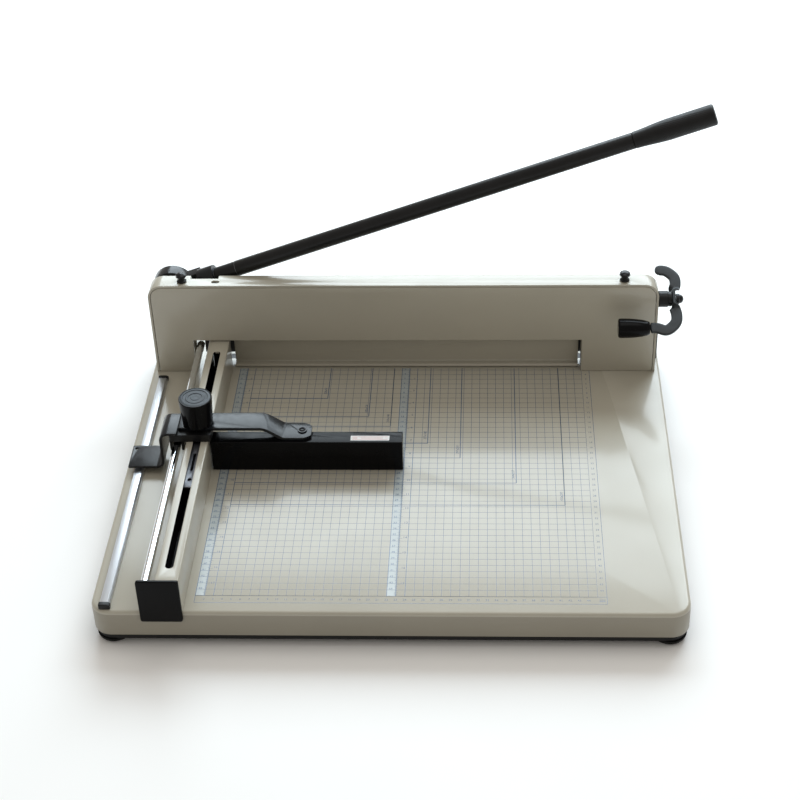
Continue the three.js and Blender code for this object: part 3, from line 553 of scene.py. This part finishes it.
def handle_turned_parts():
    x_axis = Vector((1, 0, 0))
    low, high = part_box("ratchet_hub")
    centre = Vector((low.x, (low.y + high.y) / 2, (low.z + high.z) / 2))
    length = (high.x - low.x) / MM
    hub = [(4.3, 0), (9.6, 0), (10.2, 0.6), (10.2, length - 5), (9.4, length - 4.4), (9.4, length - 0.6),
           (8.8, length), (4.3, length), (4.3, 0)]
    mesh = revolved("ratchet_hub_turned", hub, centre, x_axis, 64)
    new_piece("ratchet_hub_turned", mesh, BLACK_SATIN, "clamp_handle", "black_paint", "ratchet_hub")
    low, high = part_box("clamp_handle_nut")
    centre = Vector((low.x, (low.y + high.y) / 2, (low.z + high.z) / 2))
    nut = [(0, 0), (6.4, 0), (6.6, 0.3), (6.6, 3.6), (5.9, 4.2), *arc(0, 3.6, 5.9, 12, 88, 8), (0, 9.5)]
    mesh = revolved("clamp_handle_acorn_nut", nut, centre, x_axis, 48)
    new_piece("clamp_handle_acorn_nut", mesh, BLACK_PAINT, "clamp_handle", "black_paint", "clamp_handle_nut")
    low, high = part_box("clamp_handle_grip")
    centre = Vector((low.x, (low.y + high.y) / 2, (low.z + high.z) / 2))
    span = (high.x - low.x) / MM
    thick = (high.z - low.z) / 2 / MM
    grip = [(0, 0), (thick - 3, 0), *arc(thick - 2.6, 2.6, 2.6, -88, 0, 6), (thick - 0.1, span * 0.35),
            (thick - 0.6, span * 0.55), (thick - 1.6, span * 0.75), (thick - 2.9, span * 0.9),
            (thick - 4, span - 0.8), (thick - 5, span), (3.4, span), (3.4, 6), (0, 6)]
    mesh = revolved("clamp_handle_moulded_grip", grip, centre, x_axis, 72)
    new_piece("clamp_handle_moulded_grip", mesh, BLACK_GLOSS, "clamp_handle_grip", "black_gloss",
              "clamp_handle_grip")


# ---------- lever ----------
LEVER_ANGLE = math.radians(20)
LEVER_LENGTH = 715
GRIP_LENGTH = 101
TUBE_RADIUS = 10


def lever():
    pivot = Vector(JOINTS["lever_swing"]["pos_m"])
    along = Vector((math.cos(LEVER_ANGLE), 0, math.sin(LEVER_ANGLE)))
    refined("lever_hub", BLACK_PAINT, "lever", "black_gloss", 1.6, 4)
    start = LEVER_LENGTH - GRIP_LENGTH
    tube = [(0, 36), (7.9, 36), (7.9, 61.6), (8.6, 61.7), (9.4, 62.4), (9.5, 89), (9.5, 90.4),
            (TUBE_RADIUS, 91.2), (TUBE_RADIUS, start), (7.0, start + 0.2), (7.0, LEVER_LENGTH - 13),
            (0, LEVER_LENGTH - 13)]
    mesh = revolved("lever_steel_tube", tube, pivot, along, 72)
    new_piece("lever_steel_tube", mesh, BLACK_SATIN, "lever", "black_paint", "lever_tube")
    inside, outside, thickness = 8.7, 9.9, 0.8
    for name, near in (("lever_ring_inner", 61.2), ("lever_ring_outer", 90.6)):
        far = near + thickness
        band = [(inside, near), (outside, near), (outside, far), (inside, far), (inside, near)]
        mesh = revolved(name, band, pivot, along, 72)
        new_piece(name, mesh, SLOT_STEEL, "lever", "steel")

    def knurl(angle, height):
        fade = max(0.0, min(1.0, (height - start - 30) / 6, (LEVER_LENGTH - 5 - height) / 3))
        rising = abs(math.sin(12 * angle + height * 0.75))
        falling = abs(math.sin(12 * angle - height * 0.75))
        return 0.3 * fade * rising * falling

    grip = [(0, start + 0.4), (9.6, start + 0.4), (10.4, start + 1.4)]
    steps = 170
    for i in range(1, steps):
        height = start + 1.4 + (GRIP_LENGTH - 4.6) * i / steps
        rise = min(1.0, (height - start) / 46)
        grip.append((10.4 + 2.6 * rise * rise * (3 - 2 * rise), height))
    grip += [*arc(10, LEVER_LENGTH - 3, 3, 5, 88, 6), (0, LEVER_LENGTH)]
    mesh = revolved("lever_knurled_grip", grip, pivot, along, 144, knurl)
    new_piece("lever_knurled_grip", mesh, BLACK_PLASTIC, "lever", "black_plastic", "lever_grip")


def blade_and_fixings():
    # The blade holder takes the darkened steel: partly its own dark finish, partly painted shade.
    refined("blade_holder", DARK_STEEL_AND_PAINTED_SHADE, "blade_carrier", "steel", 0.5)
    refined("lever_pivot_bolt", STEEL, "frame", "steel", 0.6)
    for i in (1, 2, 3):
        refined(f"blade_screw_{i}", STEEL, "blade_carrier", "steel", 0.3)
    for i in (1, 2):
        refined(f"guide_bolt_{i}", STEEL, "blade_carrier", "steel", 0.5)


# ---------- rail and stop ----------
def rail():
    low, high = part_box("rail_channel")

    def hidden(face):
        inward = min(face.center.x - low.x, high.x - face.center.x) > 2 * MM
        return inward and face.center.z < high.z - 0.7 * MM and abs(face.normal.y) < 0.9

    # The channel's inner faces take the black paint: painted shade inside the slot.
    refined("rail_channel", CREAM, "frame", "cream_paint", 0.5, 3, painted_shade=(BLACK_SATIN, hidden))
    refined("rail_end_cap", BLACK_GLOSS, "frame", "black_gloss", 0.5, 3)
    refined("ruler_bar", ALUMINIUM, "frame", "aluminium", 0.35)
    refined("ruler_cap_front", BLACK_PLASTIC, "frame", "black_plastic", 0.7, 3)
    refined("ruler_cap_rear", BLACK_PLASTIC, "frame", "black_plastic", 0.7, 3)
    rail_plug(*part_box("rail_channel"))
    low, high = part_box("guide_rod")
    centre = Vector(((low.x + high.x) / 2, low.y, (low.z + high.z) / 2))
    radius, length = (high.x - low.x) / 2 / MM, (high.y - low.y) / MM
    rod = [(0, 0), (radius - 0.6, 0), (radius, 0.6), (radius, length - 1), (radius - 1, length), (0, length)]
    mesh = revolved("guide_rod_polished", rod, centre, Vector((0, 1, 0)), 64)
    new_piece("guide_rod_polished", mesh, CHROME, "frame", "chrome", "guide_rod")


def rail_plug(low, high):
    """A plastic plug with rounded edges that closes the rail's rear end."""
    shape = bmesh.new()
    size = Vector((high.x - low.x - 7 * MM, 3.5 * MM, high.z - low.z - 4.2 * MM))
    middle = Vector(((low.x + high.x) / 2, high.y - 3 * MM, low.z + 0.4 * MM + size.z / 2))
    bmesh.ops.create_cube(shape, size=1, matrix=Matrix.Translation(middle) @ Matrix.Diagonal((*size, 1)))
    bmesh.ops.bevel(shape, geom=list(shape.edges), offset=0.8 * MM, segments=2, affect="EDGES")
    mesh = bpy.data.meshes.new("rail_rear_plug")
    shape.to_mesh(mesh)
    shape.free()
    mark_sharp(mesh)
    new_piece("rail_rear_plug", mesh, BLACK_PLASTIC, "frame", "black_plastic")


def knob():
    low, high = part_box("clamp_knob")
    centre = Vector(((low.x + high.x) / 2, (low.y + high.y) / 2, low.z))
    height, radius = (high.z - low.z) / MM, (high.x - low.x) / 2 / MM
    side = [(4.3, 12), (4.3, 0.2), (radius - 3.2, 0), *arc(radius - 3.2, 1.4, 1.4, -88, 0, 5),
            *arc(radius - 1.2, height - 1.4, 1.2, 0, 70, 5), (radius - 1.8, height - 0.4),
            (radius - 1.8, height - 2), (4.3, height - 2), (4.3, 12)]
    mesh = revolved("clamp_knob_body", side, centre, Vector((0, 0, 1)), 120)
    new_piece("clamp_knob_body", mesh, BLACK_GLOSS, "stop_knob", "black_plastic", "clamp_knob")
    top = height - 0.5
    face = [(0, top - 1.2), (radius - 2, top - 1.2), (radius - 2, top), (radius - 3.2, top + 0.4),
            (radius - 4.6, top + 0.4), (radius - 5.2, top - 0.3), (11.5, top - 0.3), (10.8, top + 0.2),
            (8.6, top + 0.2), (8, top - 0.4), (5.4, top - 0.4), (4.8, top), (0, top)]
    mesh = revolved("clamp_knob_face", face, centre, Vector((0, 0, 1)), 120)
    new_piece("clamp_knob_face", mesh, KNOB_FACE, "stop_knob", "black_plastic")


def stop_screw():
    low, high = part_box("stop_screw")
    centre = Vector(((low.x + high.x) / 2, (low.y + high.y) / 2, high.z - 3.2 * MM))
    head = [(0, -9), (2.3, -9), (2.3, 0), (5.3, 0), (5.6, 0.4), (5.4, 1.4), *arc(0, -2.4, 5.6, 42, 62, 5),
            (2.5, 2.7), (2.3, 1.4), (0, 1.2)]
    mesh = revolved("stop_screw_socket_head", head, centre, Vector((0, 0, 1)), 60)
    new_piece("stop_screw_socket_head", mesh, BLACK_PAINT, "side_stop", "gloss_black_paint", "stop_screw")


def stop_sticker():
    """A plain pale sticker with red bars and no wording, on the stop's top."""
    low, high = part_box("stop_bar")
    y = (low.y - GRID_Y) / MM
    z = (high.z - TABLE_Z) / MM
    for name, material, rise, blocks in (
        ("stop_sticker_paper", STICKER, 0.02, ((168, 214, y + 4, y + 13),)),
        ("stop_sticker_lines", RED_INK, 0.06, (
            (170, 212, y + 6, y + 6.5), (170, 212, y + 10.5, y + 11),
            (170, 176, y + 8.2, y + 8.9), (180, 206, y + 8.2, y + 8.7),
        )),
    ):
        sheet = Print(z + rise)
        for block in blocks:
            sheet.block(*block)
        sheet.finish(name, material, "side_stop", "gloss_black_paint")


def side_stop():
    refined("carriage_block", BLACK_SATIN, "side_stop", "black_paint", 1.0, 3)
    refined("pointer_foot", BLACK_PAINT, "side_stop", "gloss_black_paint", 0.6, 3, 50)
    refined("strap_bracket", BLACK_PAINT, "side_stop", "gloss_black_paint", 0.8, 3, 50)
    refined("stop_bar", BLACK_GLOSS, "side_stop", "gloss_black_paint", 0.5, 3)
    refined("slide_strip", SLOT_STEEL, "side_stop", "steel", 0.3)
    knob()
    stop_screw()
    stop_sticker()


def plain_nodes():
    """Gives every CAD node its finish; the nodes that no piece replaces are seen with it."""
    finishes = {"steel": STEEL, "stick_plastic": STICK, "cream_paint": CREAM, "black_paint": BLACK_SATIN}
    slots = {entry["node"]: entry["material_slot"] for entry in frame["record"]["subparts"]}
    for name, node in frame["nodes"].items():
        node.data.materials.clear()
        # The blade takes the darkened steel: painted shade, as the real blade is bright steel.
        material = DARK_STEEL_AND_PAINTED_SHADE if name == "blade" else finishes.get(slots[name], BLACK_PLASTIC)
        node.data.materials.append(material)


make_camera()
make_studio()
plain_nodes()
printed_grid()
printed_rulers()
base_and_housing()
clamp()
handle_bar()
handle_turned_parts()
lever()
blade_and_fixings()
rail()
side_stop()
